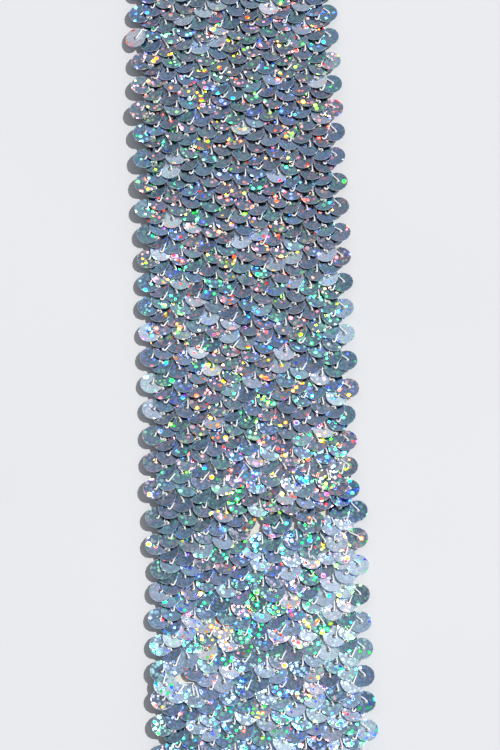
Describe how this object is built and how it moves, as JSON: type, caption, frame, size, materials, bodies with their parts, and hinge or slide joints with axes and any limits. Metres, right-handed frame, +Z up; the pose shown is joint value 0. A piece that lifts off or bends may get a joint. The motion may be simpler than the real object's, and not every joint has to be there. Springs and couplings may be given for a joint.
{
  "type": "sequin trim",
  "caption": "Cut length of wide stretch trim: overlapping round holographic sequins in zigzag chains on an elastic net strip, lying flat in soft waves.",
  "frame": {"origin": "middle of the strip's underside, on the surface that it lies on", "axes": "+Y along the trim, towards the end from which the sequins overlap downwards; +X across the trim; +Z up, out of the sequinned face"},
  "size_m": [0.0593, 0.226, 0.0041],
  "materials": {
    "elastic_net": "matt elastic net, pale greige",
    "holographic_sequins": "metallised holographic film, silver with a fine many-coloured glitter",
    "sewing_thread": "shiny off-white polyester thread"
  },
  "bodies": {
    "root": {"elastic_net_backing": "elastic_net", "sequin_chain_1": "holographic_sequins", "sequin_chain_2": "holographic_sequins", "sequin_chain_3": "holographic_sequins", "sequin_chain_4": "holographic_sequins", "sequin_chain_5": "holographic_sequins", "sequin_chain_6": "holographic_sequins"}
  },
  "joints": []
}
